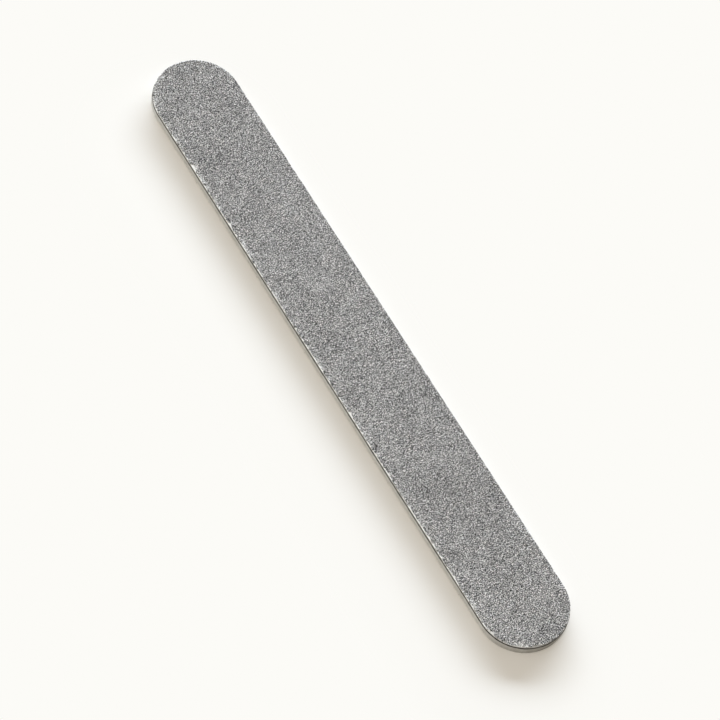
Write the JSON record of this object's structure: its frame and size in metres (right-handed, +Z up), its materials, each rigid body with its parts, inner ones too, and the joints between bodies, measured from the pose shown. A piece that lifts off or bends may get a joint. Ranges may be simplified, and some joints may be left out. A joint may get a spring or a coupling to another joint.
{
  "type": "nail file",
  "caption": "Straight flat nail file with full-radius ends: a stiff core board with an abrasive sheet bonded to each face.",
  "frame": {"origin": "under the middle of the board, on the face it rests on", "axes": "+X along the board, +Y across it, +Z up through its thickness"},
  "size_m": [0.1502, 0.0192, 0.0027],
  "materials": {
    "core_plastic": "matte",
    "adhesive": "satin",
    "backing_paper": "matte",
    "grit": "matte"
  },
  "bodies": {
    "root": {"core_board": "core_plastic", "upper_adhesive_film": "adhesive", "lower_adhesive_film": "adhesive", "upper_backing_sheet": "backing_paper", "lower_backing_sheet": "backing_paper", "upper_abrasive_coat": "grit", "lower_abrasive_coat": "grit"}
  },
  "joints": []
}
